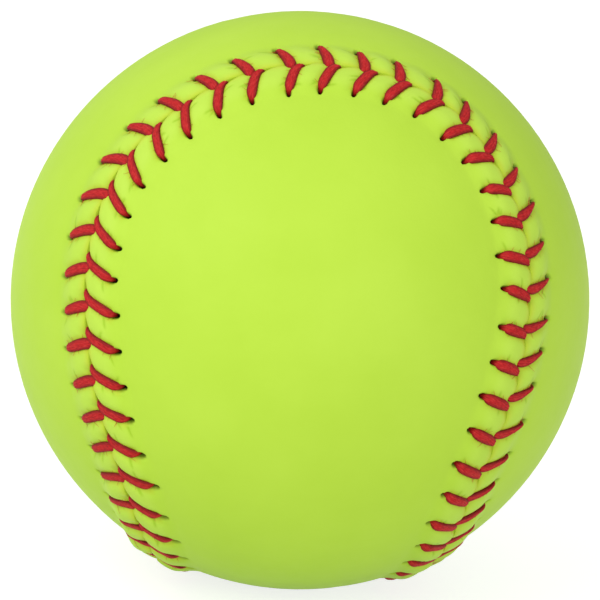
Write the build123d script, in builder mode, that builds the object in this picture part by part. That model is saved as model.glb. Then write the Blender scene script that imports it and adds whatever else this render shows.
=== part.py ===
from build123d import *
import os
from math import atan2, cos, hypot, pi, radians, sin, sqrt

# A 12-inch softball. Two figure-eight leather panels are cemented over a moulded core and laced edge to
# edge with red thread. The origin is the ball's middle. The front panel has its waist underneath (-Z) and
# its lobes at the front and back (-Y and +Y); the top panel has its waist on top (+Z) and its lobes at the
# sides (-X and +X). Sizes are in millimetres and angles in degrees.

BALL_CIRCUMFERENCE = 304.8  # round the smooth leather
LEATHER_THICKNESS = 1.8
CEMENT_THICKNESS = 0.3

WAIST_WIDTH = 41.7  # across a panel's narrow middle, along the leather
SEAM_SLANT = 14.1  # heading of the seam off upright, where it crosses the equator
SEAM_GAP = 0.5  # between the two cut edges

LIP_WIDTH = 7.0  # from the seam to the foot of the raised lip
LIP_RISE = 1.3  # crown of the lip above the smooth leather
LIP_EDGE_RISE = 0.7  # cut edge above the smooth leather

STITCH_COUNT = 88
STITCH_SHIFT = 0.9  # the stitches lie this far before the middle of a link
HOLE_OFFSET = 5.0  # from the seam to the place where a thread goes down its hole
HOLE_SLACK = 0.7  # stitch hole that the pull of the thread leaves open behind it
STITCH_LEAN = 2.1  # a hole lies this far behind the place where its thread enters the seam
ARM_STAGGER = 1.3  # the front panel's threads enter the seam this far ahead of the top panel's

THREAD_WIDTH = 1.75
THREAD_END_WIDTH = 1.1  # where the thread goes through the leather
THREAD_THICKNESS = 0.8
THREAD_CROWN = 0.15  # extra height of the thread's back, halfway across the lip
THREAD_FLANK = 20.0  # slope of the thread's sides off upright
THREAD_CLEARANCE = 0.08
SEAM_SEAT = 0.2  # underside of the thread above the smooth leather, at the seam
HOLE_SEAT = 0.3  # the same at the hole
BED_FLARE = 0.7  # a bed widens this much on each side for each millimetre of height
FIT_CLEARANCE = 0.02  # between the core, the cement and the leather

BALL_RADIUS = BALL_CIRCUMFERENCE / (2 * pi)
INNER_RADIUS = BALL_RADIUS - LEATHER_THICKNESS
CEMENT_RADIUS = INNER_RADIUS - FIT_CLEARANCE
CORE_RADIUS = CEMENT_RADIUS - CEMENT_THICKNESS - FIT_CLEARANCE
CENTRE = Vector(0, 0, 0)

# The seam is four equal arcs round the lobes, joined by four links that lie on great circles. Each stretch
# is an axis through the ball's middle, the direction in which it starts, and the angle that it turns.
waist_angle = WAIST_WIDTH / (2 * BALL_RADIUS)
slant = radians(SEAM_SLANT)
crossing = Vector(1, -1, 0).normalized()
link_axis = Vector(-cos(slant) / sqrt(2), -cos(slant) / sqrt(2), sin(slant))
lobe_angle = atan2(
    link_axis.Z * cos(waist_angle) - link_axis.Y * sin(waist_angle),
    1 + link_axis.Y * cos(waist_angle) + link_axis.Z * sin(waist_angle),
)
lobe_tilt = pi / 2 - waist_angle - lobe_angle
lobe_axis = Vector(0, -cos(lobe_tilt), sin(lobe_tilt))
lobe_start = (lobe_axis - link_axis * link_axis.dot(lobe_axis)).normalized()
half_link = crossing.get_angle(lobe_start)


def square_to(vector, axis):
    """Part of a vector that is square to a unit axis."""
    return vector - axis * axis.dot(vector)


waist_edge = Vector(0, -sin(waist_angle), cos(waist_angle))
half_arc = square_to(lobe_start, lobe_axis).get_angle(square_to(waist_edge, lobe_axis))


def mirrored(vector):
    """Vector on the other side of the ball's left-right middle plane."""
    return Vector(-vector.X, vector.Y, vector.Z)


def next_quarter(stretch):
    """The same stretch of seam a quarter of the seam further on, where the panels have changed places."""
    axis, start, turn = stretch
    return Vector(-axis.Y, axis.X, axis.Z), Vector(start.Y, -start.X, -start.Z), turn


lobe_arc = (lobe_axis, lobe_start, 2 * half_arc)
link = (mirrored(link_axis), mirrored(lobe_start), 2 * half_link)
seam = []
for quarter in range(4):
    seam += [lobe_arc, link]
    lobe_arc = next_quarter(lobe_arc)
    link = next_quarter(link)


def stretch_length(stretch):
    """Length of one stretch of the seam on the smooth leather."""
    axis, start, turn = stretch
    return BALL_RADIUS * radians(turn) * square_to(start, axis).length


def seam_frame(distance):
    """Outward direction, heading and front-panel side of the seam, at a distance along it."""
    left = distance % sum(stretch_length(stretch) for stretch in seam)
    for stretch in seam:
        length = stretch_length(stretch)
        if left <= length:
            break
        left -= length
    axis, start, turn = stretch
    outward = start.rotate(Axis(CENTRE, axis), turn * min(left / length, 1))
    heading = axis.cross(outward).normalized()
    return outward, heading, outward.cross(heading)


def section_plane(stretch):
    """Plane through the ball's middle that cuts a stretch of seam square at its start."""
    axis, start, turn = stretch
    heading = axis.cross(start).normalized()
    return Plane(origin=CENTRE, x_dir=start.cross(heading), z_dir=heading)


def across(offset, rise):
    """Point of a seam section: offset along the leather from the seam, and rise above the leather."""
    angle = offset / BALL_RADIUS
    return ((BALL_RADIUS + rise) * sin(angle), (BALL_RADIUS + rise) * cos(angle))


# Whole cover: a shell with the raised seam, parted into its two panels by the gap.
lip_root = LEATHER_THICKNESS / 6
slot_top = LIP_RISE + LEATHER_THICKNESS
with BuildPart() as seam_slot:
    for stretch in seam:
        with BuildSketch(section_plane(stretch)):
            with BuildLine():
                Polyline(
                    (-SEAM_GAP / 2, INNER_RADIUS - LEATHER_THICKNESS),
                    (-SEAM_GAP / 2, BALL_RADIUS + slot_top),
                    (SEAM_GAP / 2, BALL_RADIUS + slot_top),
                    (SEAM_GAP / 2, INNER_RADIUS - LEATHER_THICKNESS),
                    close=True,
                )
            make_face()
        revolve(axis=Axis(CENTRE, stretch[0]), revolution_arc=stretch[2])

with BuildPart() as cover:
    Sphere(BALL_RADIUS)
    for stretch in seam:
        with BuildSketch(section_plane(stretch)):
            with BuildLine():
                ThreePointArc(
                    across(-LIP_WIDTH, -lip_root),
                    across(-LIP_WIDTH / 2, LIP_RISE),
                    across(0, LIP_EDGE_RISE),
                )
                ThreePointArc(
                    across(0, LIP_EDGE_RISE),
                    across(LIP_WIDTH / 2, LIP_RISE),
                    across(LIP_WIDTH, -lip_root),
                )
                Line(across(LIP_WIDTH, -lip_root), across(-LIP_WIDTH, -lip_root))
            make_face()
        revolve(axis=Axis(CENTRE, stretch[0]), revolution_arc=stretch[2])
    Sphere(INNER_RADIUS, mode=Mode.SUBTRACT)
    add(seam_slot.part, mode=Mode.SUBTRACT)

lower_blank, upper_blank = cover.part.solids().sort_by(Axis.Z)

# One arm of a stitch, laid along X from the seam to its hole with Z outward: up out of the seam, along its
# bed across the lip and down through the hole. It is drawn from the side and in plan.
seam_end = SEAM_GAP / 2 + THREAD_THICKNESS / 2 + THREAD_CLEARANCE
hole_end = hypot(HOLE_OFFSET, STITCH_LEAN)
half_thick = THREAD_THICKNESS / 2
arm_start = seam_end - half_thick
arm_finish = hole_end + half_thick
arm_length = arm_finish - arm_start


def over_ball(along, rise):
    """Height of an arm's side view above the seam's level, from its rise above the smooth leather."""
    return sqrt(BALL_RADIUS**2 - along**2) - BALL_RADIUS + rise


def underside(along):
    """Height of the straight underside of an arm."""
    share = (along - arm_start) / arm_length
    return (1 - share) * over_ball(arm_start, SEAM_SEAT) + share * over_ball(arm_finish, HOLE_SEAT)


leg_foot = THREAD_CLEARANCE - LEATHER_THICKNESS
arm_middle = (arm_start + arm_finish) / 2
arm_shoulder = arm_length / 4
with BuildPart() as arm_plan:
    with BuildSketch(Plane.XY) as arm_outline:
        with BuildLine():
            Polyline(
                (arm_start, -THREAD_END_WIDTH / 2),
                (arm_middle - arm_shoulder, -THREAD_WIDTH / 2),
                (arm_middle + arm_shoulder, -THREAD_WIDTH / 2),
                (arm_finish, -THREAD_END_WIDTH / 2),
                (arm_finish, THREAD_END_WIDTH / 2),
                (arm_middle + arm_shoulder, THREAD_WIDTH / 2),
                (arm_middle - arm_shoulder, THREAD_WIDTH / 2),
                (arm_start, THREAD_END_WIDTH / 2),
                close=True,
            )
        make_face()
    extrude(amount=-2 * LEATHER_THICKNESS)
    extrude(arm_outline.sketch, amount=SEAM_SEAT + THREAD_THICKNESS + THREAD_CROWN, taper=THREAD_FLANK)

with BuildPart() as stitch_arm:
    with BuildSketch(Plane.XZ):
        with BuildLine():
            Polyline(
                (arm_start, over_ball(arm_start, leg_foot)),
                (seam_end + half_thick, over_ball(arm_start, leg_foot)),
                (seam_end + half_thick, underside(seam_end + half_thick)),
                (hole_end - half_thick, underside(hole_end - half_thick)),
                (hole_end - half_thick, over_ball(arm_finish, leg_foot)),
                (arm_finish, over_ball(arm_finish, leg_foot)),
                (arm_finish, over_ball(arm_finish, HOLE_SEAT + half_thick)),
                (arm_middle + arm_shoulder, underside(arm_middle + arm_shoulder) + THREAD_THICKNESS),
                (arm_middle, underside(arm_middle) + THREAD_THICKNESS + THREAD_CROWN),
                (arm_middle - arm_shoulder, underside(arm_middle - arm_shoulder) + THREAD_THICKNESS),
                (arm_start, over_ball(arm_start, LIP_EDGE_RISE)),
                close=True,
            )
        make_face()
    extrude(amount=THREAD_WIDTH / 2, both=True)
    add(arm_plan.part, mode=Mode.INTERSECT)

# The bed of an arm: a trough under the thread with sloping sides, which leaves the lip puffed up between
# stitches, and the two ways through the leather: the notch at the seam and the stitch hole.
bed_start = -LIP_WIDTH / 4
bed_width = THREAD_WIDTH + 2 * THREAD_CLEARANCE
bed_height = LIP_RISE + LEATHER_THICKNESS
leg_taper = (THREAD_WIDTH - THREAD_END_WIDTH) * THREAD_THICKNESS / (arm_length / 2 - arm_shoulder)
way_width = THREAD_END_WIDTH + leg_taper + 2 * THREAD_CLEARANCE
way_length = THREAD_THICKNESS + 2 * THREAD_CLEARANCE
bed_end = arm_finish + THREAD_CLEARANCE
with BuildPart() as stitch_bed:
    trough_origin = Vector(bed_start, 0, underside(bed_start) - THREAD_CLEARANCE)
    trough_heading = Vector(bed_end - bed_start, 0, underside(bed_end) - underside(bed_start))
    with BuildSketch(Plane(trough_origin, (0, 1, 0), trough_heading)):
        with BuildLine():
            Polyline(
                (-bed_width / 2, 0),
                (bed_width / 2, 0),
                (bed_width / 2 + BED_FLARE * bed_height, bed_height),
                (-bed_width / 2 - BED_FLARE * bed_height, bed_height),
                close=True,
            )
        make_face()
    extrude(amount=trough_heading.length)
    with BuildSketch(Plane.XY.offset(-2 * LEATHER_THICKNESS)):
        with Locations((seam_end, 0)):
            Rectangle(way_length, way_width)
        with Locations((hole_end + HOLE_SLACK / 2, 0)):
            Rectangle(way_length + HOLE_SLACK, way_width)
    extrude(amount=2 * LEATHER_THICKNESS + LIP_RISE)

# Places of the arms: on the seam, turned towards the hole, with Z outward.
seam_length = sum(stretch_length(stretch) for stretch in seam)
first_stitch = -radians(half_link) * BALL_RADIUS - STITCH_SHIFT
lean = atan2(STITCH_LEAN, HOLE_OFFSET)
front_places = []
top_places = []
for stitch in range(STITCH_COUNT):
    distance = first_stitch + stitch * seam_length / STITCH_COUNT
    outward, heading, side = seam_frame(distance - ARM_STAGGER / 2)
    toward_hole = side * cos(lean) + heading * sin(lean)
    front_places.append(Plane(outward * BALL_RADIUS, toward_hole, outward).location)
    outward, heading, side = seam_frame(distance + ARM_STAGGER / 2)
    toward_hole = side * -cos(lean) + heading * sin(lean)
    top_places.append(Plane(outward * BALL_RADIUS, toward_hole, outward).location)

# The pieces of the ball.
with BuildPart() as core:
    Sphere(CORE_RADIUS)

with BuildPart() as cement_film:
    Sphere(CEMENT_RADIUS)
    Sphere(CEMENT_RADIUS - CEMENT_THICKNESS, mode=Mode.SUBTRACT)

with BuildPart() as front_panel:
    add(lower_blank)
    with Locations(*front_places):
        add(stitch_bed.part, mode=Mode.SUBTRACT)

with BuildPart() as top_panel:
    add(upper_blank)
    with Locations(*top_places):
        add(stitch_bed.part, mode=Mode.SUBTRACT)

with BuildPart() as front_stitches:
    with Locations(*front_places):
        add(stitch_arm.part)

with BuildPart() as top_stitches:
    with Locations(*top_places):
        add(stitch_arm.part)

os.makedirs("parts", exist_ok=True)
core.part.label = "core"
export_step(core.part, "parts/core.step")
cement_film.part.label = "cement_film"
export_step(cement_film.part, "parts/cement_film.step")
front_panel.part.label = "front_panel"
export_step(front_panel.part, "parts/front_panel.step")
top_panel.part.label = "top_panel"
export_step(top_panel.part, "parts/top_panel.step")
front_stitches.part.label = "front_stitches"
export_step(front_stitches.part, "parts/front_stitches.step")
top_stitches.part.label = "top_stitches"
export_step(top_stitches.part, "parts/top_stitches.step")
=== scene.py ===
"""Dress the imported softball: leather panels with a laced seam, red thread, core, cement and a studio."""

from __future__ import annotations

import logging
import math
from collections.abc import Callable, Iterable
from dataclasses import dataclass, field
from enum import Enum
from functools import partial
from typing import Any

import bpy
import numpy as np
from bpy.types import Material, Node, NodeSocket, NodeTree, Object, World
from mathutils import Matrix, Vector
from mathutils.geometry import delaunay_2d_cdt

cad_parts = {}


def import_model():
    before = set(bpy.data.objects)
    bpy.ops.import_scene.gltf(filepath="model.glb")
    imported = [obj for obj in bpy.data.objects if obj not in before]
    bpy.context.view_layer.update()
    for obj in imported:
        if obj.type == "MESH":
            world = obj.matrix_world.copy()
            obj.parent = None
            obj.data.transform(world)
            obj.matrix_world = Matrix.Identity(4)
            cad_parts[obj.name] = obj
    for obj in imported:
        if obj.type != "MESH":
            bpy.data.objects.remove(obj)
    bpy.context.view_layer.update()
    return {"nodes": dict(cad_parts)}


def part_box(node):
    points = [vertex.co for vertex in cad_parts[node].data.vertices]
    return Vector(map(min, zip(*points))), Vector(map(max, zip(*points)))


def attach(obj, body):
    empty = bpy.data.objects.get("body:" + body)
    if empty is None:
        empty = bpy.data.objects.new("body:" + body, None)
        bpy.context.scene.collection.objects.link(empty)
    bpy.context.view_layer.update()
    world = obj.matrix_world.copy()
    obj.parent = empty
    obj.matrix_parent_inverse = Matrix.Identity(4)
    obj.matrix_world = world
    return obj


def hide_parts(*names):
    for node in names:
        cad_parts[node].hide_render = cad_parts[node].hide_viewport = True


LOG = logging.getLogger("softball")
MM = 0.001
BODY = "root"

# Seeds of the random draws: the lacing, and for each panel its wrinkles and loose fibres.
LACING_SEED = 12
WRINKLE_SEED = 17
FIBRE_SEED = 21

# How Blender's triangulation treats the loop, and the distance at which it merges points.
INSIDE_ONLY = 1
MERGE_WITHIN = 1e-9

# Area for each point of an even triangular net, as a share of its spacing squared.
NET_SHARE = 0.87

# Sockets of the Mix node in its colour mode.
MIX_SHARE, MIX_BASE, MIX_OVER, MIX_RESULT = 0, 6, 7, 2


class Side(Enum):
    """The two panels, with the sign of their side of the seam."""

    FRONT = 1
    TOP = -1


@dataclass(frozen=True)
class PointLayer:
    """A layer of values on a mesh's points, which a material reads."""

    name: str
    kind: str
    item: str


# The leather's tones near the seam: painted shade in the holes and creases, the stain beside the thread, and
# a painted highlight on the lip's crowns.
SEAM_TONE = PointLayer("seam_tone", "FLOAT_COLOR", "color")
# The thread's lay: length, place across, and an edge share that sets the painted shade on its flanks.
THREAD_LAY = PointLayer("thread_lay", "FLOAT_VECTOR", "vector")

NodeMaker = Callable[..., Node]
Array = np.ndarray
Span = tuple[float, float]
Floats = tuple[float, ...]
Faces = list[tuple[int, ...]]


def by_side(front: Any, top: Any) -> Any:
    """Dataclass field with a value for each panel."""
    return field(default_factory=lambda: {Side.FRONT: front, Side.TOP: top})


def hex_linear(code: str) -> tuple[float, float, float, float]:
    """Turn an sRGB hex colour into linear RGBA.

    Args:
        code: Six hex digits after a hash sign.

    Returns:
        Linear red, green and blue with an alpha of 1.
    """
    parts = [int(code[i : i + 2], 16) / 255 for i in (1, 3, 5)]
    # The curve of the sRGB standard.
    linear = [p / 12.92 if p <= 0.04045 else ((p + 0.055) / 1.055) ** 2.4 for p in parts]
    return linear[0], linear[1], linear[2], 1.0


def add_node(
    tree: NodeTree,
    kind: str,
    settings: dict[str | int, Any] | None = None,
    links: dict[str | int, NodeSocket] | None = None,
) -> Node:
    """Add a shader node, set it and link it.

    Args:
        tree: Node tree that takes the node.
        kind: Blender's name of the node type, without its first word ShaderNode.
        settings: Values by property name, or by input socket name or number.
        links: Output sockets by the input socket's name or number.

    Returns:
        The new node.
    """
    node = tree.nodes.new("ShaderNode" + kind)
    for key, value in (settings or {}).items():
        if isinstance(key, str) and hasattr(node, key):
            setattr(node, key, value)
        else:
            node.inputs[key].default_value = value
    for key, socket in (links or {}).items():
        tree.links.new(socket, node.inputs[key])
    return node


def set_stops(ramp: Node, stops: Iterable[tuple[float, str]]) -> None:
    """Set the stops of a colour ramp.

    Args:
        ramp: The colour ramp's node.
        stops: Positions from 0 to 1, in rising order, with their hex colours.
    """
    elements = ramp.color_ramp.elements
    elements.remove(elements[-1])
    first, *others = stops
    elements[0].position = first[0]
    elements[0].color = hex_linear(first[1])
    for position, colour in others:
        elements.new(position).color = hex_linear(colour)


def empty_tree(owner: Material | World) -> NodeMaker:
    """Clear the nodes of a material or world.

    Args:
        owner: The material or world.

    Returns:
        The function that adds nodes to it.
    """
    owner.use_nodes = True
    owner.node_tree.nodes.clear()
    return partial(add_node, owner.node_tree)


def mesh_piece(
    name: str, points: Array, faces: Faces, layer: PointLayer, values: Array
) -> Object:
    """Make a smooth-shaded mesh object with one layer of values.

    Args:
        name: Name of the piece.
        points: Points in metres, one row each.
        faces: Vertex numbers of each face.
        layer: The layer that the material reads.
        values: The layer's values, one row for each point.

    Returns:
        The object, in the scene.
    """
    mesh = bpy.data.meshes.new(name)
    mesh.from_pydata(points.tolist(), [], faces)
    mesh.polygons.foreach_set("use_smooth", [True] * len(mesh.polygons))
    mesh.attributes.new(layer.name, layer.kind, "POINT").data.foreach_set(layer.item, values.ravel())
    mesh.update()
    piece = bpy.data.objects.new(name, mesh)
    bpy.context.scene.collection.objects.link(piece)
    return piece


def smooth(low: float, high: float, value: Array) -> Array:
    """Ease from 0 at low to 1 at high."""
    x = np.clip((value - low) / (high - low), 0, 1)
    return x * x * (3 - 2 * x)


def bell(distance: Array, width: float, power: float = 2.0) -> Array:
    """Fall off from 1 at no distance; a higher power gives a flatter top and steeper sides."""
    return np.exp(-(np.abs(distance / width) ** power))


def unit_rows(vectors: Array) -> Array:
    """Scale vectors along the last axis to a length of 1."""
    return vectors / np.linalg.norm(vectors, axis=-1, keepdims=True)


def spline(seat: Array, value: Array, t: Array) -> Array:
    """Draw a smooth curve through values (Catmull-Rom).

    Args:
        seat: Rising seats of the values.
        value: The values.
        t: Seats at which the curve is wanted.

    Returns:
        The curve's values.
    """
    slope = np.gradient(value, seat)
    k = np.clip(np.searchsorted(seat, t, side="right") - 1, 0, len(seat) - 2)
    gap = seat[k + 1] - seat[k]
    u = (t - seat[k]) / gap
    return (
        (2 * u**3 - 3 * u**2 + 1) * value[k]
        + (u**3 - 2 * u**2 + u) * gap * slope[k]
        + (3 * u**2 - 2 * u**3) * value[k + 1]
        + (u**3 - u**2) * gap * slope[k + 1]
    )


def ring_faces(first: int, last: int, around: int) -> Faces:
    """List the quads between closed rings of points.

    Args:
        first: Vertex number of the first ring's first point.
        last: Vertex number of the last ring's first point.
        around: Points in a ring.

    Returns:
        Vertex numbers of each quad.
    """
    faces: Faces = []
    for ring in range(first, last, around):
        for c in range(around):
            n = (c + 1) % around
            faces.append((ring + c, ring + n, ring + around + n, ring + around + c))
    return faces


@dataclass(frozen=True)
class CoverLeather:
    """Pigmented optic yellow cowhide with a smooth satin coat."""

    colour: str = "#C0E646"
    pale_colour: str = "#BBE240"
    # Painted highlight: a paler colour on the crowns of the lip, where the soft lights catch it.
    crown_highlight_colour: str = "#D0F070"
    stain_colour: str = "#DCC91A"
    # Painted shade: a darker, deeper green laid into the creases, valleys, dimples and wrinkles and onto the
    # cut edge, where shade falls.
    crease_shade_colour: str = "#9CC81A"
    # Painted shade: the holes are only pits in the leather, and this near black stands in for the shade
    # inside them.
    hole_shade_colour: str = "#0D0D06"
    roughness: Span = (0.5, 0.62)
    ior: float = 1.45
    sheen: float = 0.26
    mottle_mm: float = 16.0
    mottle_stops: Span = (0.3, 0.7)
    # Cowhide has a pore every 0.1 to 0.2 mm; that is finer than a pixel, so the grain is drawn coarser.
    grain_mm: float = 0.55
    grain_depth_mm: float = 0.1
    grain_strength: float = 0.06
    ripple_mm: float = 2.2
    ripple_depth_mm: float = 0.3
    ripple_strength: float = 0.12

    def material(self) -> Material:
        """Build the leather's material.

        Returns:
            The material, which reads the seam's tones from the mesh.
        """
        # The coat hides the hide: one even colour with a weak, broad sheen. A painted highlight makes the
        # lip's crowns paler, and painted shade deepens its creases, valleys and wrinkles and blackens the
        # holes.
        made = bpy.data.materials.new("pigmented_cowhide_satin_coat")
        node = empty_tree(made)
        place = {"Vector": node("TexCoord").outputs["Object"]}
        tone = node("Attribute", {"attribute_name": SEAM_TONE.name})
        split = node("SeparateColor", links={0: tone.outputs["Color"]})
        mottle_scale = 1 / (self.mottle_mm * MM)
        mottle = node("TexNoise", {"Scale": mottle_scale, "Detail": 3.0, "Roughness": 0.55}, place)
        ramp = node("ValToRGB", links={0: mottle.outputs["Fac"]})
        set_stops(ramp, zip(self.mottle_stops, (self.pale_colour, self.colour)))
        shade = ramp.outputs["Color"]
        # A painted highlight on the lip's crowns, the stain beside the thread, painted crease shade, and
        # painted near black in the holes.
        for share, over in (
            (tone.outputs["Alpha"], self.crown_highlight_colour),
            (split.outputs["Blue"], self.stain_colour),
            (split.outputs["Green"], self.crease_shade_colour),
            (split.outputs["Red"], self.hole_shade_colour),
        ):
            settings = {"data_type": "RGBA", MIX_OVER: hex_linear(over)}
            shade = node("Mix", settings, {MIX_SHARE: share, MIX_BASE: shade}).outputs[MIX_RESULT]
        grain = node("TexVoronoi", {"Scale": 1 / (self.grain_mm * MM)}, place)
        ripple_scale = 1 / (self.ripple_mm * MM)
        ripple = node("TexNoise", {"Scale": ripple_scale, "Detail": 4.0, "Roughness": 0.6}, place)
        relief = {"Strength": self.grain_strength, "Distance": self.grain_depth_mm * MM}
        pores = node("Bump", relief, {"Height": grain.outputs["Distance"]}).outputs["Normal"]
        relief = {"Strength": self.ripple_strength, "Distance": self.ripple_depth_mm * MM}
        bump = node("Bump", relief, {"Height": ripple.outputs["Fac"], "Normal": pores})
        low, high = self.roughness
        rough = node("MapRange", {"To Min": low, "To Max": high}, {"Value": ripple.outputs["Fac"]})
        coat = node(
            "BsdfPrincipled",
            {"IOR": self.ior, "Specular IOR Level": self.sheen},
            {"Base Color": shade, "Roughness": rough.outputs["Result"], "Normal": bump.outputs["Normal"]},
        )
        node("OutputMaterial", links={"Surface": coat.outputs["BSDF"]})
        return made


@dataclass(frozen=True)
class LacingThread:
    """Waxed red cotton thread."""

    shade: str = "#8C0C12"
    colour: str = "#C2181B"
    fibre: str = "#D2403C"
    # Painted shade: the thread's flanks are darkened where its rounded sides turn away from the light.
    flank_shade: str = "#5E0808"
    stops: Floats = (0.28, 0.5, 0.78)
    flank_shade_from: float = 0.4
    flank_shade_share: float = 0.85
    # Cotton fibres are about 0.02 mm thick, finer than a pixel, so they are drawn ten times as coarse.
    streak_mm: float = 0.22
    streak_squeeze: float = 0.28
    streak_depth_mm: float = 0.12
    streak_strength: float = 0.5
    roughness: float = 0.65
    ior: float = 1.45
    sheen: float = 0.3

    def material(self) -> Material:
        """Build the thread's material.

        Returns:
            The material, which reads the thread's lay from the mesh.
        """
        # Wax leaves cotton dull and deep red, with paler fibres that streak along it, and painted shade
        # darkens its flanks.
        made = bpy.data.materials.new("waxed_cotton_lacing_thread")
        node = empty_tree(made)
        lay = node("Attribute", {"attribute_name": THREAD_LAY.name}).outputs["Vector"]
        along = node("Mapping", {"Scale": (self.streak_squeeze, 1.0, 0.0)}, {"Vector": lay})
        streaks = {"Scale": 1 / self.streak_mm, "Detail": 3.0, "Roughness": 0.6}
        streak = node("TexNoise", streaks, {"Vector": along.outputs["Vector"]})
        ramp = node("ValToRGB", links={0: streak.outputs["Fac"]})
        set_stops(ramp, zip(self.stops, (self.shade, self.colour, self.fibre)))
        # Painted shade on the flanks, set by the place across the thread.
        across = node("SeparateXYZ", links={0: lay}).outputs["Z"]
        shares = {"From Min": self.flank_shade_from, "From Max": 1.0, "To Min": 0.0, "To Max": self.flank_shade_share}
        share = node("MapRange", shares, {"Value": across}).outputs["Result"]
        settings = {"data_type": "RGBA", MIX_OVER: hex_linear(self.flank_shade)}
        flank_shaded = node("Mix", settings, {MIX_SHARE: share, MIX_BASE: ramp.outputs["Color"]})
        relief = {"Strength": self.streak_strength, "Distance": self.streak_depth_mm * MM}
        bump = node("Bump", relief, {"Height": streak.outputs["Fac"]})
        settings = {"Roughness": self.roughness, "IOR": self.ior, "Specular IOR Level": self.sheen}
        looks = {"Base Color": flank_shaded.outputs[MIX_RESULT], "Normal": bump.outputs["Normal"]}
        wax = node("BsdfPrincipled", settings, looks)
        node("OutputMaterial", links={"Surface": wax.outputs["BSDF"]})
        return made


@dataclass(frozen=True)
class PatternedFinish:
    """A finish whose two colours and fine relief follow one pattern."""

    name: str
    pattern: str
    settings: dict[str, float]
    height: str
    pattern_mm: float
    colours: tuple[str, str]
    depth_mm: float
    strength: float
    roughness: float
    ior: float = 1.5

    def material(self) -> Material:
        """Build the finish's material.

        Returns:
            The material.
        """
        made = bpy.data.materials.new(self.name)
        node = empty_tree(made)
        place = {"Vector": node("TexCoord").outputs["Object"]}
        pattern = node(self.pattern, {"Scale": 1 / (self.pattern_mm * MM), **self.settings}, place)
        height = pattern.outputs[self.height]
        ramp = node("ValToRGB", links={0: height})
        set_stops(ramp, zip((0.0, 1.0), self.colours))
        bump = node("Bump", {"Strength": self.strength, "Distance": self.depth_mm * MM}, {"Height": height})
        looks = {"Base Color": ramp.outputs["Color"], "Normal": bump.outputs["Normal"]}
        skin = node("BsdfPrincipled", {"Roughness": self.roughness, "IOR": self.ior}, looks)
        node("OutputMaterial", links={"Surface": skin.outputs["BSDF"]})
        return made


# The skin of a foam moulding is dull and buff, with small closed cells just under it.
MOULDED_FOAM = PatternedFinish(
    name="moulded_polyurethane_foam_skin", pattern="TexVoronoi", settings={}, height="Distance",
    pattern_mm=1.2, colours=("#C4B184", "#D8C9A0"), depth_mm=0.2, strength=0.3, roughness=0.8,
)

# A brushed film dries amber with a low gloss, and is paler where the brush left it thin.
BRUSHED_CEMENT = PatternedFinish(
    name="brushed_contact_cement", pattern="TexNoise", settings={"Detail": 4.0, "Distortion": 1.5},
    height="Fac", pattern_mm=5.0, colours=("#C9A35A", "#DDC38C"), depth_mm=0.1, strength=0.4, roughness=0.5,
)


@dataclass(frozen=True)
class WhiteSweep:
    """Matt white paper sweep."""

    colour: str = "#E4E4E2"
    shown_colour: str = "#AFAFAD"
    glow: float = 0.78

    def material(self) -> Material:
        """Build the floor's material.

        Returns:
            The material.
        """
        # Matt paper has no shine; to the camera it is lifted to white, and it still takes the shadow.
        made = bpy.data.materials.new("matt_white_paper_sweep")
        node = empty_tree(made)
        path = node("LightPath").outputs
        seen = path["Is Camera Ray"]
        for other in ("Is Glossy Ray", "Is Transmission Ray"):
            seen = node("Math", {"operation": "MAXIMUM"}, {0: seen, 1: path[other]}).outputs[0]
        paper = node("BsdfDiffuse", {"Color": hex_linear(self.colour)})
        shaded = node("BsdfDiffuse", {"Color": hex_linear(self.shown_colour)})
        light = node("Emission", {"Strength": self.glow})
        shown = node("AddShader", links={0: shaded.outputs["BSDF"], 1: light.outputs["Emission"]})
        both = node("MixShader", links={0: seen, 1: paper.outputs["BSDF"], 2: shown.outputs["Shader"]})
        node("OutputMaterial", links={"Surface": both.outputs["Shader"]})
        return made


# A stretch of seam: its axis, its first direction and the angle that it turns, in radians.
Stretch = tuple[Array, Array, float]


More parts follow.
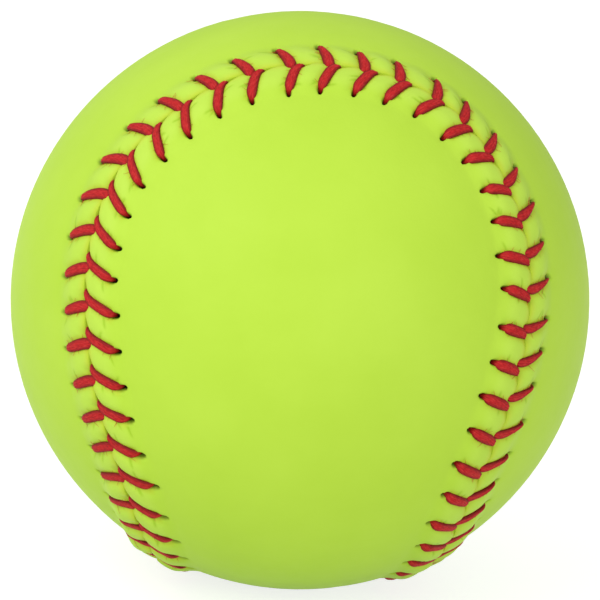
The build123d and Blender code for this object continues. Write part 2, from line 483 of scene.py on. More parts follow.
@dataclass(frozen=True)
class SeamPath:
    """The seam's line on the ball: four arcs round the lobes, joined by great-circle links. Sizes in mm."""

    ball_radius: float
    waist_width: float = 41.7
    slant_deg: float = 14.1

    def stretches(self) -> list[Stretch]:
        """Work out the eight stretches.

        Returns:
            An arc and a link for each quarter of the seam, in order.
        """
        waist = self.waist_width / (2 * self.ball_radius)
        slant = math.radians(self.slant_deg)
        lean = -math.cos(slant) / math.sqrt(2)
        link_axis = np.array([lean, lean, math.sin(slant)])
        lobe = math.atan2(
            link_axis[2] * math.cos(waist) - link_axis[1] * math.sin(waist),
            1 + link_axis[1] * math.cos(waist) + link_axis[2] * math.sin(waist),
        )
        tilt = math.pi / 2 - waist - lobe
        lobe_axis = np.array([0, -math.cos(tilt), math.sin(tilt)])
        start = unit_rows(lobe_axis - link_axis * (link_axis @ lobe_axis))
        crossing = np.array([1, -1, 0]) / math.sqrt(2)
        half_link = math.acos(float(np.clip(crossing @ start, -1, 1)))
        edge = np.array([0, -math.sin(waist), math.cos(waist)])
        from_start = unit_rows(start - lobe_axis * (lobe_axis @ start))
        to_edge = unit_rows(edge - lobe_axis * (lobe_axis @ edge))
        half_arc = math.acos(float(from_start @ to_edge))
        mirror = np.array([-1, 1, 1])
        arc = (lobe_axis, start, 2 * half_arc)
        link = (link_axis * mirror, start * mirror, 2 * half_link)
        out = []
        for _ in range(4):
            out += [arc, link]
            arc = self._next_quarter(arc)
            link = self._next_quarter(link)
        return out

    @staticmethod
    def _next_quarter(stretch: Stretch) -> Stretch:
        """Carry a stretch a quarter of the seam further on, where the panels have changed places."""
        axis, start, turn = stretch
        return np.array([-axis[1], axis[0], axis[2]]), np.array([start[1], -start[0], -start[2]]), turn

    def lengths(self) -> Array:
        """Length of each stretch on the smooth leather, in mm."""
        turns = [
            turn * np.linalg.norm(start - axis * (axis @ start)) for axis, start, turn in self.stretches()
        ]
        return self.ball_radius * np.array(turns)

    def frames(self, distance: Array) -> tuple[Array, Array]:
        """Find the seam's frame at distances from the middle of the first link.

        Args:
            distance: Distances along the seam in mm.

        Returns:
            Outward directions, and directions to the front panel's side, one row each.
        """
        lengths = self.lengths()
        ends = np.cumsum(lengths)
        half_link = lengths[1] / 2
        left = (np.ravel(distance) - half_link) % ends[-1]
        number = np.minimum(np.searchsorted(ends, left, side="right"), len(ends) - 1)
        outward = np.zeros((left.size, 3))
        heading = np.zeros((left.size, 3))
        for k, (axis, start, turn) in enumerate(self.stretches()):
            here = number == k
            angle = (left[here] - ends[k] + lengths[k]) / lengths[k] * turn
            along = axis * (axis @ start)
            flat = start - along
            ahead = np.cross(axis, flat)
            outward[here] = along + np.outer(np.cos(angle), flat) + np.outer(np.sin(angle), ahead)
            heading[here] = np.outer(-np.sin(angle), flat) + np.outer(np.cos(angle), ahead)
        return outward, np.cross(outward, unit_rows(heading))


@dataclass(frozen=True)
class Pull:
    """A smooth local change along the seam, as a lacer's uneven pull leaves it."""

    stitch: float
    reach: float
    amount: float

    def at(self, number: Array, count: int) -> Array:
        """Share of the change at stitch numbers, round a seam of so many stitches."""
        off = (number - self.stitch + count / 2) % count - count / 2
        return self.amount * bell(off, self.reach)


Pulls = tuple[Pull, ...]


@dataclass
class Lacing:
    """Where every stitch lies, with the small unevenness of hand lacing. Sizes in mm.

    Stitches are numbered round the seam from its crossing at the lower right of the front lobe. Pulls are
    placed by these numbers.
    """

    path: SeamPath
    count: int = 88
    phase: float = -0.9
    stagger: float = 1.3
    hole_offset: dict[Side, float] = by_side(5.4, 5.8)
    lean: dict[Side, float] = by_side(2.3, 1.9)
    bend: dict[Side, float] = by_side(0.93, 1.3)
    overrun: float = 1.15
    hook: dict[Side, float] = by_side(-0.3, 0.1)
    hook_reach: float = 0.68
    hook_pulls: dict[Side, Pulls] = by_side((Pull(19.0, 9.0, -0.9), Pull(60.0, 12.0, -0.6)), ())
    unevenness: float = 0.12
    hole_unevenness: float = 1.5
    puff_unevenness: float = 0.7
    wander_rest: float = 0.3
    wander_wave: float = 0.12
    wander_phase: float = 0.6
    wander_pulls: Pulls = (
        Pull(-7.0, 2.8, -2.0), Pull(1.0, 3.0, 0.5), Pull(7.8, 2.2, -1.7), Pull(15.0, 1.6, 0.4),
        Pull(24.5, 2.0, -0.4), Pull(37.0, 3.0, 0.8), Pull(54.5, 5.0, 2.2), Pull(66.0, 3.0, 1.0),
    )
    spacing_pulls: Pulls = (
        Pull(-2.0, 4.5, 1.2), Pull(11.0, 3.0, -0.9), Pull(26.0, 3.0, -0.9), Pull(44.0, 5.0, 0.8),
        Pull(60.0, 4.0, -0.6),
    )
    lean_pulls: dict[Side, Pulls] = by_side(
        (Pull(0.2, 3.2, -1.5), Pull(18.0, 4.8, 1.4), Pull(47.0, 4.0, -0.9), Pull(63.0, 4.0, 0.8)),
        (Pull(-0.5, 2.6, 0.8), Pull(21.5, 2.6, -0.9), Pull(45.0, 4.0, 0.6), Pull(70.0, 4.0, -0.5)),
    )

    def __post_init__(self) -> None:
        """Draw the places of the seam ends and the holes, and the fullness of the puffs."""
        rng = np.random.default_rng(LACING_SEED)
        self.length = float(self.path.lengths().sum())
        self.pitch = self.length / self.count
        number = np.arange(self.count)
        shift = self.phase + self.pulled(self.spacing_pulls, number)
        self.seam_end: dict[Side, Array] = {}
        self.hole_s: dict[Side, Array] = {}
        self.hole_d: dict[Side, Array] = {}
        self.puff: dict[Side, Array] = {}
        for side in Side:
            jitter = rng.normal(0, self.unevenness, (4, self.count))
            lean = self.lean[side] + self.pulled(self.lean_pulls[side], number)
            self.seam_end[side] = number * self.pitch + shift - side.value * self.stagger / 2 + jitter[0]
            self.hole_s[side] = self.seam_end[side] + lean + jitter[1]
            self.hole_d[side] = self.hole_offset[side] + self.hole_unevenness * jitter[2]
            self.puff[side] = 1 + self.puff_unevenness * jitter[3]

    def pulled(self, pulls: Pulls, number: Array) -> Array:
        """Sum of several pulls at stitch numbers."""
        return sum((pull.at(number, self.count) for pull in pulls), np.zeros(np.shape(number)))

    def wander(self, distance: Array) -> Array:
        """Sideways pull of the seam towards the front panel in mm, at distances along it."""
        wave = self.wander_wave * np.sin(2 * math.pi * distance / self.pitch + self.wander_phase)
        return self.pulled(self.wander_pulls, distance / self.pitch) + self.wander_rest + wave

    def place(self, side: Side, s: Array, d: Array, rise: Array) -> Array:
        """Turn seam coordinates into points.

        Args:
            side: Which panel.
            s: Distance along the seam in mm.
            d: Distance from the seam into the panel in mm.
            rise: Height above the smooth leather in mm.

        Returns:
            Points in metres, one row each.
        """
        outward, across = self.path.frames(s)
        angle = (side.value * np.ravel(d) + self.wander(np.ravel(s))) / self.path.ball_radius
        way = outward * np.cos(angle)[:, None] + across * np.sin(angle)[:, None]
        return way * ((self.path.ball_radius + np.ravel(rise)) * MM)[:, None]

    def arm_line(self, side: Side, number: Array, d: Array) -> Array:
        """Follow a thread's middle line.

        Args:
            side: Which panel.
            number: Stitch numbers, of any range.
            d: Distance from the seam in mm.

        Returns:
            Distances along the seam in mm.
        """
        lap = np.floor_divide(number, self.count) * self.length
        index = np.mod(number, self.count)
        end = self.seam_end[side][index] + lap
        hole = self.hole_s[side][index] + lap
        share = np.clip(d / self.hole_d[side][index], 0, self.overrun)
        hook = self.hook[side] + self.pulled(self.hook_pulls[side], number)
        return end + (hole - end) * share ** self.bend[side] + hook * bell(d, self.hook_reach)


@dataclass(frozen=True)
class Lip:
    """The raised lip of the leather along the seam, as it is between the stitches. Sizes in mm."""

    width: float = 7.4
    crown: float = 2.6
    height: dict[Side, float] = by_side(1.1, 0.95)
    edge_share: float = 0.72
    swellings: Pulls = (Pull(-7.5, 3.0, 0.25), Pull(29.5, 3.2, 0.5))

    def rise(self, side: Side, lacing: Lacing, s: Array, d: Array) -> Array:
        """Work out how far the lip stands above the smooth leather.

        Args:
            side: Which panel.
            lacing: The stitches, by which the swellings are placed.
            s: Distances along the seam in mm.
            d: Distances from the seam in mm.

        Returns:
            Heights in mm.
        """
        beyond = np.clip((d - self.crown) / (self.width - self.crown), 0, 1)
        outer = (1 + np.cos(np.pi * beyond)) / 2
        inward = np.clip((self.crown - d) / self.crown, 0, 1)
        inner = self.edge_share + (1 - self.edge_share) * np.sqrt(1 - inward**2)
        lift = 1 + lacing.pulled(self.swellings, s / lacing.pitch)
        return self.height[side] * lift * np.where(d > self.crown, outer, inner)


@dataclass(frozen=True)
class Wrinkles:
    """Fine folds of the leather that fan out from the threads. Sizes in mm."""

    per_stitch: int = 3
    depth: float = 0.08
    width: float = 0.2
    starts: Span = (2.0, 4.9)
    slopes: Span = (-0.15, 0.7)
    lengths: Span = (0.4, 2.2)
    ahead_share: float = 0.75
    clear_of_thread: float = 0.9
    fade_in: float = 0.3
    fade_out: float = 0.9

    def draw(self, side: Side, count: int) -> list[tuple[Array, ...]]:
        """Draw the wrinkles of one panel.

        Args:
            side: Which panel.
            count: Number of stitches.

        Returns:
            For each wrinkle: its start from the seam, slope, length and way along the seam, by stitch.
        """
        rng = np.random.default_rng(WRINKLE_SEED + side.value)
        return [
            (
                rng.uniform(*self.starts, count),
                rng.uniform(*self.slopes, count),
                rng.uniform(*self.lengths, count),
                np.where(rng.random(count) < self.ahead_share, 1.0, -1.0),
            )
            for _ in range(self.per_stitch)
        ]

    def fold(self, line: tuple[Array, ...], off: Array, d: Array) -> Array:
        """Work out how strongly a wrinkle folds the leather.

        Args:
            line: The wrinkle's start, slope, length and way, at each point.
            off: Distances from the thread's middle line, along the seam, in mm.
            d: Distances from the seam in mm.

        Returns:
            Shares from 0 to 1.
        """
        start, slope, length, way = line
        out = way * off - self.clear_of_thread
        fade = smooth(0, self.fade_in, out) * (1 - smooth(-self.fade_out, 0, out - length))
        return bell(d - start - slope * out, self.width) * fade


@dataclass(frozen=True)
class SeamShades:
    """How strongly the leather's tones show near the seam, as shares from 0 to 1: painted shade in the
    holes, creases, valleys, dimples and wrinkles, a painted highlight on the lip's crowns, and the stain
    beside the thread. Sizes in mm.
    """

    # Painted shade in the holes.
    hole_shade_gain: float = 1.4
    # Painted shade in the thread's valleys, along the seam's crease line, in the dimples round the holes and
    # in the wrinkles.
    valley: float = 0.25
    valley_shade_full: float = 0.6
    edge: float = 0.25
    edge_width: float = 0.4
    dimple: float = 0.15
    wrinkle: float = 0.7
    stain: float = 0.35
    stain_width: float = 1.35
    stain_power: float = 5.0
    stain_end: Span = (-0.8, 0.2)
    seam_stain: float = 0.3
    seam_stain_width: float = 0.9
    # Painted highlight on the lip's crowns.
    stretch: float = 0.2
    crown_highlight_span: Span = (0.3, 0.95)
    # Tones of the cut edge, in the order of the layer: hole shade, crease shade, stain and crown highlight;
    # the crease share is painted shade in the gap between the panels.
    wall: tuple[float, float, float, float] = (0.05, 0.5, 0.2, 0.0)


@dataclass
class LeatherPanel:
    """One figure-eight panel with its puffed lip, stitch holes and cut edge. Sizes in mm."""

    side: Side
    lacing: Lacing
    finish: CoverLeather
    lip: Lip = field(default_factory=Lip)
    wrinkles: Wrinkles = field(default_factory=Wrinkles)
    shades: SeamShades = field(default_factory=SeamShades)
    thickness: float = 1.8
    gap: float = 0.1
    valley_width: float = 1.35
    valley_power: float = 2.2
    valley_depth: float = 0.68
    valley_end: Span = (-0.6, 1.0)
    notch_width: float = 1.5
    notch_power: float = 3.0
    notch_reach: float = 1.4
    hole_length: float = 0.9
    hole_width: dict[Side, float] = by_side(0.45, 0.3)
    hole_power: float = 4.0
    hole_depth: float = 1.5
    dimple_width: float = 1.5
    dimple_depth: float = 0.15
    puff_width: float = math.sqrt(6)
    columns_per_stitch: int = 22
    wall_rows: Floats = (-1.3, -0.8, -0.3)
    edge_rows: Floats = (0.0, 0.06, 0.16, 0.3, 0.5, 0.75)
    lip_rows: Floats = (1.05, 6.8, 0.2)
    foot_row_step: float = 0.4
    band_width: float = 10.0
    easing_rings: tuple[tuple[int, float], ...] = ((4, 0.9), (8, 2.2))
    point_gap: float = 2.2
    point_margin: float = 3.6
    under_gap: float = 5.5
    under_margin: float = 5.0
    seam_samples: int = 800

    def surface(self, s: Array, d: Array) -> tuple[Array, Array]:
        """Shape the leather near the seam.

        Args:
            s: Distances along the seam in mm.
            d: Distances from the seam in mm, of the same size.

        Returns:
            Rise in mm, and the tone of each point: painted hole shade, painted crease shade, stain and
                painted crown highlight.
        """
        lace = self.lacing
        shades = self.shades
        valley, hole, dimple, stain, fold, swell, weight = (np.zeros(s.shape) for _ in range(7))
        lean = lace.lean[self.side] * np.clip(d / lace.hole_offset[self.side], 0, 1)
        nearest = np.rint((s - lean - lace.phase) / lace.pitch).astype(int)
        wrinkles = self.wrinkles.draw(self.side, lace.count)
        for number in (nearest - 1, nearest, nearest + 1):
            index = np.mod(number, lace.count)
            lap = np.floor_divide(number, lace.count) * lace.length
            off = s - lace.arm_line(self.side, number, d)
            past = d - lace.hole_d[self.side][index]
            bed = bell(off, self.valley_width, self.valley_power) * (1 - smooth(*self.valley_end, past))
            apex = s - lap - (lace.seam_end[Side.FRONT][index] + lace.seam_end[Side.TOP][index]) / 2
            notch = bell(apex, self.notch_width, self.notch_power) * bell(d, self.notch_reach)
            valley = np.maximum(valley, np.maximum(bed, notch))
            tint = bell(off, shades.stain_width, shades.stain_power) * (1 - smooth(*shades.stain_end, past))
            stain = np.maximum(stain, tint)
            hole_s = s - lap - lace.hole_s[self.side][index]
            from_hole = np.hypot(hole_s / self.hole_width[self.side], past / self.hole_length)
            hole = np.maximum(hole, bell(from_hole, 1.0, self.hole_power))
            dimple = np.maximum(dimple, bell(np.hypot(hole_s, past), self.dimple_width))
            for line in wrinkles:
                here = tuple(value[index] for value in line)
                fold = np.maximum(fold, self.wrinkles.fold(here, off, d))
            share = bell(off - lace.pitch / 2, self.puff_width)
            swell += share * lace.puff[self.side][index]
            weight += share
        base = self.lip.rise(self.side, lace, s, d)
        rise = base * (1 - self.valley_depth * valley) * (swell / weight)
        rise -= self.dimple_depth * dimple + self.hole_depth * hole + self.wrinkles.depth * fold
        # Painted shade along the seam's crease line, in the valleys beside the threads, in the dimples and
        # in the wrinkles.
        edge = bell(d, shades.edge_width)
        crease_shade = shades.valley * valley * smooth(0, shades.valley_shade_full, base) + shades.edge * edge
        crease_shade += shades.dimple * dimple + shades.wrinkle * fold
        tint = shades.stain * stain + shades.seam_stain * bell(d, shades.seam_stain_width)
        # Painted highlight: the crowns of the lip, away from the valleys and the crease line, are made
        # paler.
        fullness = smooth(*shades.crown_highlight_span, base / self.lip.height[self.side])
        stretch = shades.stretch * fullness * (1 - valley) * (1 - edge)
        # Painted shade in the holes, then painted crease shade, stain and painted crown highlight.
        tone = np.stack([shades.hole_shade_gain * hole, crease_shade, tint, stretch], axis=-1)
        return rise, np.clip(tone, 0, 1)

    def rows(self) -> Array:
        """Rows of the band as distances from the seam in mm, closer where the leather bends most."""
        foot = np.arange(self.lip_rows[1], self.band_width + self.foot_row_step / 4, self.foot_row_step)
        return np.concatenate([np.array(self.edge_rows) + self.gap / 2, np.arange(*self.lip_rows), foot])

    def band(self, along: Array) -> tuple[Array, Array]:
        """Lay out the leather near the seam, from the foot of its cut edge up and over the lip.

        Args:
            along: Distances of the columns along the seam in mm.

        Returns:
            Points in metres and their tones, row by row.
        """
        wall = np.array([-self.thickness, *self.wall_rows])
        rows = self.rows()
        s, d = np.meshgrid(along, np.concatenate([np.full(len(wall), rows[0]), rows]))
        rise, tone = self.surface(s, d)
        rise[: len(wall)] = wall[:, None]
        tone[: len(wall)] = self.shades.wall
        points = self.lacing.place(self.side, s, d, rise)
        return points, tone.reshape(len(points), -1)

    def easing(self, along: Array) -> Array:
        """Directions of rings of points outside the band, fewer the further they are from it."""
        rings = [self.ring(along[::skip], self.band_width + margin) for skip, margin in self.easing_rings]
        return unit_rows(np.concatenate(rings))

    def ring(self, s: Array, d: float) -> Array:
        """Points on the smooth leather along the seam, at one distance from it in mm."""
        return self.lacing.place(self.side, s, np.full(s.shape, d), np.zeros(s.shape))

    def scattered(self, spacing: float, margin: float) -> Array:
        """Scatter even points over this panel's side of the ball.

        Args:
            spacing: Distance between points in mm.
            margin: Least distance from the seam in mm.

        Returns:
            Directions, one row each.
        """
        radius = self.lacing.path.ball_radius
        total = int(4 * math.pi * radius**2 / (NET_SHARE * spacing**2))
        k = np.arange(total) + 0.5
        polar = np.arccos(1 - 2 * k / total)
        golden_turn = math.pi * (1 + math.sqrt(5)) * k
        spread = np.stack(
            [np.sin(polar) * np.cos(golden_turn), np.sin(polar) * np.sin(golden_turn), np.cos(polar)], axis=1
        )
        s = np.linspace(0, self.lacing.length, self.seam_samples, endpoint=False)
        outward, across = self.lacing.path.frames(s)
        closeness = spread @ outward.T
        nearest = closeness.argmax(axis=1)
        apart = np.arccos(np.clip(closeness.max(axis=1), -1, 1)) * radius
        inside = np.einsum("ij,ij->i", spread, across[nearest]) * self.side.value > 0
        return spread[inside & (apart > margin)]

    def fill(self, loop: Array, first_loop: int, spare: Array, first_spare: int) -> Faces:
        """Fill a closed loop on the ball with triangles.

        Args:
            loop: The loop's points.
            first_loop: Vertex number of the loop's first point.
            spare: Directions of the points inside the loop.
            first_spare: Vertex number of the first inside point.

        Returns:
            Triangles that all turn one way: into the ball in the front panel, out of it in the top panel.
        """
        every = np.concatenate([unit_rows(loop), spare])
        # Projected from the pole in the other panel, this panel lies flat without folds.
        flat = every[:, :2] / (1 - self.side.value * every[:, 2:])
        corners = [Vector(pair) for pair in flat.tolist()]
        result = delaunay_2d_cdt(corners, [], [list(range(len(loop)))], INSIDE_ONLY, MERGE_WITHIN)
        ids = [*range(first_loop, first_loop + len(loop)), *range(first_spare, first_spare + len(spare))]
        source = [ids[origin[0]] for origin in result[3]]
        return [tuple(source[v] for v in face) for face in result[2]]

    def build(self) -> Object:
        """Build the panel as one closed mesh.

        Returns:
            The panel's object.
        """
        lace = self.lacing
        radius = lace.path.ball_radius
        columns = lace.count * self.columns_per_stitch
        along = lace.length * (0.5 + np.arange(columns) / columns)
        band, tones = self.band(along)
        count = len(band)
        outside = self.scattered(self.point_gap, self.band_width + self.point_margin)
        spare = np.concatenate([self.easing(along), outside])
        under = self.scattered(self.under_gap, self.under_margin)
        outer = self.fill(band[-columns:], count - columns, spare, count)
        inner = self.fill(band[:columns], 0, under, count + len(spare))
        points = np.concatenate([band, spare * radius * MM, under * (radius - self.thickness) * MM])
        faces = ring_faces(0, count - columns, columns) + [face[::-1] for face in outer] + inner
        if self.side is Side.TOP:
            faces = [face[::-1] for face in faces]
        tones = np.concatenate([tones, np.zeros((len(points) - count, tones.shape[1]))])
        return mesh_piece(f"{self.side.name.lower()}_leather", points, faces, SEAM_TONE, tones)

    def dress(self) -> Object:
        """Build the panel, give it its leather and set it on the ball.

        Returns:
            The finished piece.
        """
        piece = self.build()
        piece.data.materials.append(self.finish.material())
        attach(piece, BODY)
        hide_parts(f"{self.side.name.lower()}_panel")
        return piece


@dataclass(frozen=True)
class LooseFibres:
    """Fibres that have worked loose from the thread and lie close to the leather. Sizes in mm."""

    per_stitch: int = 5
    radius: float = 0.034
    stations: int = 6
    around: int = 5
    span: Span = (0.12, 0.85)
    ahead_share: float = 0.6
    reaches: Span = (0.3, 1.1)
    slope: float = 0.45
    curl: float = 0.35
    clear_of_middle: float = 0.6
    lift: float = 0.25
    taper: float = 0.6

    def rings(self, panel: LeatherPanel) -> Array:
        """Lay the fibres beside the arms of one panel.

        Args:
            panel: The panel on which the arms lie.

        Returns:
            Points in metres in rings: fibre, station, place around, coordinate.
        """
        side = panel.side
        lace = panel.lacing
        rng = np.random.default_rng(FIBRE_SEED + side.value)
        number = np.repeat(np.arange(lace.count), self.per_stitch)
        total = len(number)
        start = rng.uniform(*self.span, total) * lace.hole_d[side][number]
        way = np.where(rng.random(total) < self.ahead_share, 1.0, -1.0)
        reach = rng.uniform(*self.reaches, total)[:, None]
        slope = rng.normal(0, self.slope, total)[:, None]
        curl = rng.normal(0, self.curl, total)[:, None]
        loose_lift = rng.uniform(0, self.lift, total)[:, None]
        t = np.linspace(0, 1, self.stations)
        out = self.clear_of_middle + reach * t
        d = start[:, None] + reach * (slope * t + curl * t**2)
        s = lace.arm_line(side, number[:, None], start[:, None]) + way[:, None] * out
        rise, _ = panel.surface(s, d)
        lift = self.radius + self.lift * (1 - t) ** 2 + loose_lift * t
        line = lace.place(side, s, d, rise + lift).reshape(total, self.stations, 3)
        outward = unit_rows(line)
        flat = unit_rows(np.cross(outward, np.gradient(line, axis=1)))
        theta = np.linspace(0, 2 * np.pi, self.around, endpoint=False)[:, None]
        circle = flat[:, :, None, :] * np.cos(theta) + outward[:, :, None, :] * np.sin(theta)
        radius = self.radius * MM * (1 - self.taper * t)
        return line[:, :, None, :] + circle * radius[:, None, None]


@dataclass
class ThreadRow:
    """The visible thread of one panel: flat plied arms from the holes over the lip into the seam.

    An arm is drawn through ten knots: three in the hole, four over the lip, three at the seam. Sizes in mm.
    """

    panel: LeatherPanel
    finish: LacingThread
    fibres: LooseFibres = field(default_factory=LooseFibres)
    hole_back: Floats = (0.4, 0.45, 0.75)
    hole_rise: Floats = (-1.3, -0.4, 0.25)
    lip_shares: Floats = (0.75, 0.58, 0.4)
    lip_foot: float = 1.5
    bed_lift: float = 0.4
    seam_reach: dict[Side, Floats] = by_side((0.8, 0.3, 0.1), (0.6, -0.15, -0.6))
    seam_rise: dict[Side, Floats] = by_side((0.5, -0.6), (0.58, 0.3))
    widths: dict[Side, Floats] = by_side(
        (0.95, 1.2, 1.65, 1.88, 1.9, 1.86, 1.8, 1.5, 1.0, 0.6),
        (0.7, 0.85, 1.15, 1.55, 1.78, 1.88, 1.92, 1.92, 1.8, 1.6),
    )
    width_pulls: dict[Side, Pulls] = by_side(
        (Pull(17.5, 6.0, -0.16), Pull(60.0, 9.0, -0.2)),
        (Pull(-1.0, 6.0, -0.2), Pull(29.0, 4.0, -0.2), Pull(48.0, 8.0, -0.15)),
    )
    tip_shares: Floats = (1.0, 1.0, 0.95, 0.75, 0.4, 0.15, 0.0, 0.0, 0.0, 0.0)
    tip_pulls: dict[Side, Pulls] = by_side((), (Pull(2.0, 11.0, -0.68), Pull(45.0, 8.0, -0.5)))
    thickness: float = 0.74
    end_thickness_share: float = 0.7
    across_power: float = 0.8
    height_power: float = 0.9
    plies: int = 3
    ply_depth: float = 0.07
    twist: float = 1.3
    lay_step: float = 9.0
    lay_slant: float = 0.6
    stations: int = 26
    around: int = 20
    end_stations: int = 5

    def knots(self, number: int) -> Array:
        """Set the knots of one arm, from the hole to the seam.

        Args:
            number: The stitch's number.

        Returns:
            Distance along the seam, distance from the seam, rise and width, one row for each knot.
        """
        side = self.panel.side
        lace = self.panel.lacing
        depth = float(lace.hole_d[side][number])
        in_hole = [depth - back for back in self.hole_back]
        over_lip = [share * depth for share in self.lip_shares]
        d = np.array([*in_hole, *over_lip, self.lip_foot, *self.seam_reach[side]])
        s = lace.arm_line(side, np.full(d.shape, number), d)
        lip = self.panel.lip.rise(side, lace, s, d)
        rise = lip * (1 - self.panel.valley_depth) + self.bed_lift * self.thickness
        rise[: len(self.hole_rise)] = self.hole_rise
        rise[-len(self.seam_rise[side]) :] = self.seam_rise[side]
        spread = 1 + lace.pulled(self.width_pulls[side], np.array(number))
        taper = 1 + lace.pulled(self.tip_pulls[side], np.array(number)) * np.array(self.tip_shares)
        return np.stack([s, d, rise, np.array(self.widths[side]) * spread * taper], axis=1)

    def arm(self, number: int) -> tuple[Array, Array]:
        """Shape one arm.

        Args:
            number: The stitch's number.

        Returns:
            Points in metres in rings from the hole to the seam, and their lay: length, place across, and
            edge, which sets the painted shade on the flanks.
        """
        knots = self.knots(number)
        seat = np.linspace(0, 1, len(knots))
        t = np.linspace(0, 1, self.stations)
        s, d, rise, width = (spline(seat, column, t) for column in knots.T)
        centre = self.panel.lacing.place(self.panel.side, s, d, rise)
        ahead = unit_rows(np.gradient(centre, axis=0))
        lead = unit_rows(centre[-1 - self.end_stations] - centre[self.end_stations])
        flat = np.cross(unit_rows(centre), lead)
        flat = unit_rows(flat - ahead * np.einsum("ij,ij->i", flat, ahead)[:, None])
        upward = np.cross(ahead, flat)
        theta = np.linspace(0, 2 * np.pi, self.around, endpoint=False)
        across = np.sign(np.cos(theta)) * np.abs(np.cos(theta)) ** self.across_power
        height = np.sign(np.sin(theta)) * np.abs(np.sin(theta)) ** self.height_power
        phase = 2 * np.pi * self.twist * t[:, None] + number
        ridge = 1 + 2 * self.ply_depth / self.thickness * np.cos(self.plies * np.pi * across + phase)
        middle_share = (1 - self.end_thickness_share) * np.sin(np.pi * t)
        thick = self.thickness * (self.end_thickness_share + middle_share)
        wide = width[:, None] / 2 * across
        tall = thick[:, None] / 2 * height * ridge
        rings = centre[:, None] + (flat[:, None] * wide[..., None] + upward[:, None] * tall[..., None]) * MM
        steps = np.linalg.norm(np.diff(centre, axis=0), axis=1) / MM
        length = np.concatenate([[0], np.cumsum(steps)])
        lay = np.zeros(rings.shape)
        lay[..., 0] = length[:, None] + self.lay_step * number
        lay[..., 1] = wide + self.lay_slant * t[:, None]
        # The share of the way out to the flank, which sets the painted shade there.
        lay[..., 2] = np.abs(across)
        return rings, lay

    def build(self) -> Object:
        """Build all arms and fibres as one mesh of closed tubes.

        Returns:
            The thread's object.
        """
        arms = [self.arm(number) for number in range(self.panel.lacing.count)]
        fibres = self.fibres.rings(self.panel)
        points = np.concatenate([*(rings.reshape(-1, 3) for rings, _ in arms), fibres.reshape(-1, 3)])
        lays = np.concatenate([lay.reshape(-1, 3) for _, lay in arms])
        lays = np.concatenate([lays, np.zeros((len(points) - len(lays), 3))])
        faces: Faces = []
        first = 0
        for tubes, stations, around in (
            (len(arms), self.stations, self.around),
            (len(fibres), self.fibres.stations, self.fibres.around),
        ):
            for _ in range(tubes):
                last = first + (stations - 1) * around
                faces += ring_faces(first, last, around)
                faces += [tuple(range(first + around - 1, first - 1, -1)), tuple(range(last, last + around))]
                first = last + around
        return mesh_piece(f"{self.panel.side.name.lower()}_thread", points, faces, THREAD_LAY, lays)

    def dress(self) -> Object:
        """Build the thread, give it its finish and set it on the ball.

        Returns:
            The finished piece.
        """
        piece = self.build()
        piece.data.materials.append(self.finish.material())
        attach(piece, BODY)
        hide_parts(f"{self.panel.side.name.lower()}_stitches")
        return piece


@dataclass
class InnerBall:
    """The core and its cement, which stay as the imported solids."""

    foam: PatternedFinish
    cement: PatternedFinish

    def dress(self, nodes: dict[str, Any]) -> None:
        """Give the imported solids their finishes.

        Args:
            nodes: The frame's objects by node name.
        """
        for name, finish in (("core", self.foam), ("cement_film", self.cement)):
            mesh = nodes[name].data
            mesh.materials.clear()
            mesh.materials.append(finish.material())
            LOG.info("%s: %d faces", name, len(mesh.polygons))


@dataclass(frozen=True)
class SoftLamp:
    """A soft square lamp that faces the ball. Sizes in mm, power in watts."""

    name: str
    place: Floats
    size: float
    power: float

    def hang(self) -> None:
        """Hang the lamp in its place."""
        data = bpy.data.lights.new(self.name, "AREA")
        data.shape = "SQUARE"
        data.size = self.size * MM
        data.energy = self.power
        lamp = bpy.data.objects.new(self.name, data)
        lamp.location = Vector(self.place) * MM
        lamp.rotation_euler = (-lamp.location).to_track_quat("-Z", "Y").to_euler()
        bpy.context.scene.collection.objects.link(lamp)


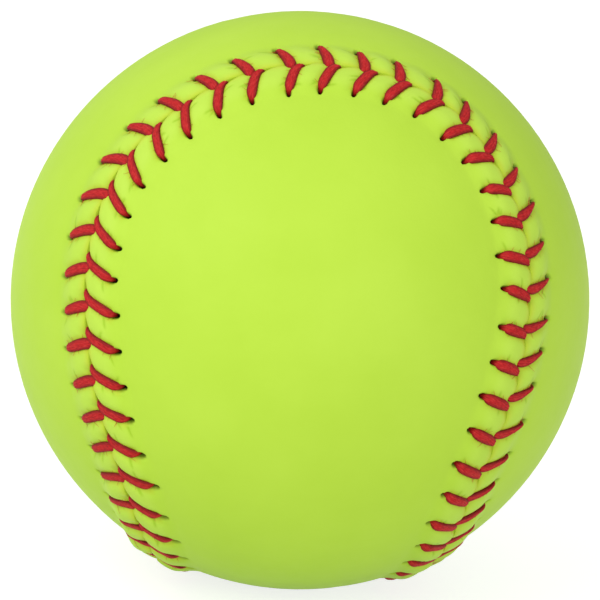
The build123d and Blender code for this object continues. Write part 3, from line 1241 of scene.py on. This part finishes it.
@dataclass
class Studio:
    """White sweep, soft lights and the camera. Sizes in mm."""

    ball_radius: float
    sweep: WhiteSweep
    floor_reach: float = 4000.0
    lamps: tuple[SoftLamp, ...] = (
        SoftLamp("key", (-650, -600, 750), 900, 5.0),
        SoftLamp("fill", (500, -900, 250), 700, 2.3),
    )
    bright_side: Floats = (-0.72, -0.32, 0.62)
    world_dim: float = 0.33
    world_bright: float = 0.8
    camera_distance: float = 610.0
    camera_way: Floats = (-0.0396, -0.9647, 0.2603)
    camera_up: Floats = (-0.0555, 0.2623, 0.9634)
    camera_clip: Span = (10.0, 20000.0)
    sensor: float = 36.0
    lens: float = 217.7

    def floor(self) -> None:
        """Lay the sweep under the ball."""
        mesh = bpy.data.meshes.new("sweep")
        h = self.floor_reach * MM
        z = -self.ball_radius * MM
        mesh.from_pydata([(-h, -h, z), (h, -h, z), (h, h, z), (-h, h, z)], [], [(0, 1, 2, 3)])
        mesh.materials.append(self.sweep.material())
        piece = bpy.data.objects.new("sweep", mesh)
        bpy.context.scene.collection.objects.link(piece)

    def world(self) -> None:
        """Set the even light of the room, brighter on the key lamp's side."""
        world = bpy.data.worlds.new("studio")
        node = empty_tree(world)
        way = node("TexCoord").outputs["Generated"]
        facing = node("VectorMath", {"operation": "DOT_PRODUCT", 1: self.bright_side}, {0: way})
        levels = {"From Min": -1.0, "From Max": 1.0, "To Min": self.world_dim, "To Max": self.world_bright}
        level = node("MapRange", levels, {"Value": facing.outputs["Value"]})
        even = node("Background", {"Color": (1.0, 1.0, 1.0, 1.0)}, {"Strength": level.outputs["Result"]})
        node("OutputWorld", links={"Surface": even.outputs["Background"]})
        bpy.context.scene.world = world

    def camera(self) -> None:
        """Set the camera at the photograph's angle."""
        data = bpy.data.cameras.new("camera")
        data.sensor_width = self.sensor
        data.lens = self.lens
        data.clip_start = self.camera_clip[0] * MM
        data.clip_end = self.camera_clip[1] * MM
        camera = bpy.data.objects.new("camera", data)
        back = Vector(self.camera_way).normalized()
        right = Vector(self.camera_up).cross(back).normalized()
        turn = Matrix((right, back.cross(right), back)).transposed().to_4x4()
        camera.matrix_world = Matrix.Translation(back * self.camera_distance * MM) @ turn
        bpy.context.scene.collection.objects.link(camera)
        bpy.context.scene.camera = camera

    def build(self) -> None:
        """Set up the studio."""
        self.floor()
        for lamp in self.lamps:
            lamp.hang()
        self.world()
        self.camera()
        bpy.context.scene.view_settings.view_transform = "Standard"


def main() -> None:
    """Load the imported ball, dress it and set it in the studio."""
    logging.basicConfig(level=logging.INFO, format="%(message)s")
    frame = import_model()
    radius = max(abs(v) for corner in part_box("front_panel") for v in corner) / MM
    lacing = Lacing(SeamPath(radius))
    leather = CoverLeather()
    thread = LacingThread()
    for side in Side:
        panel = LeatherPanel(side, lacing, leather)
        for piece in (panel.dress(), ThreadRow(panel, thread).dress()):
            LOG.info("%s: %d faces", piece.name, len(piece.data.polygons))
    InnerBall(MOULDED_FOAM, BRUSHED_CEMENT).dress(frame["nodes"])
    Studio(radius, WhiteSweep()).build()


if __name__ == "__main__":
    main()
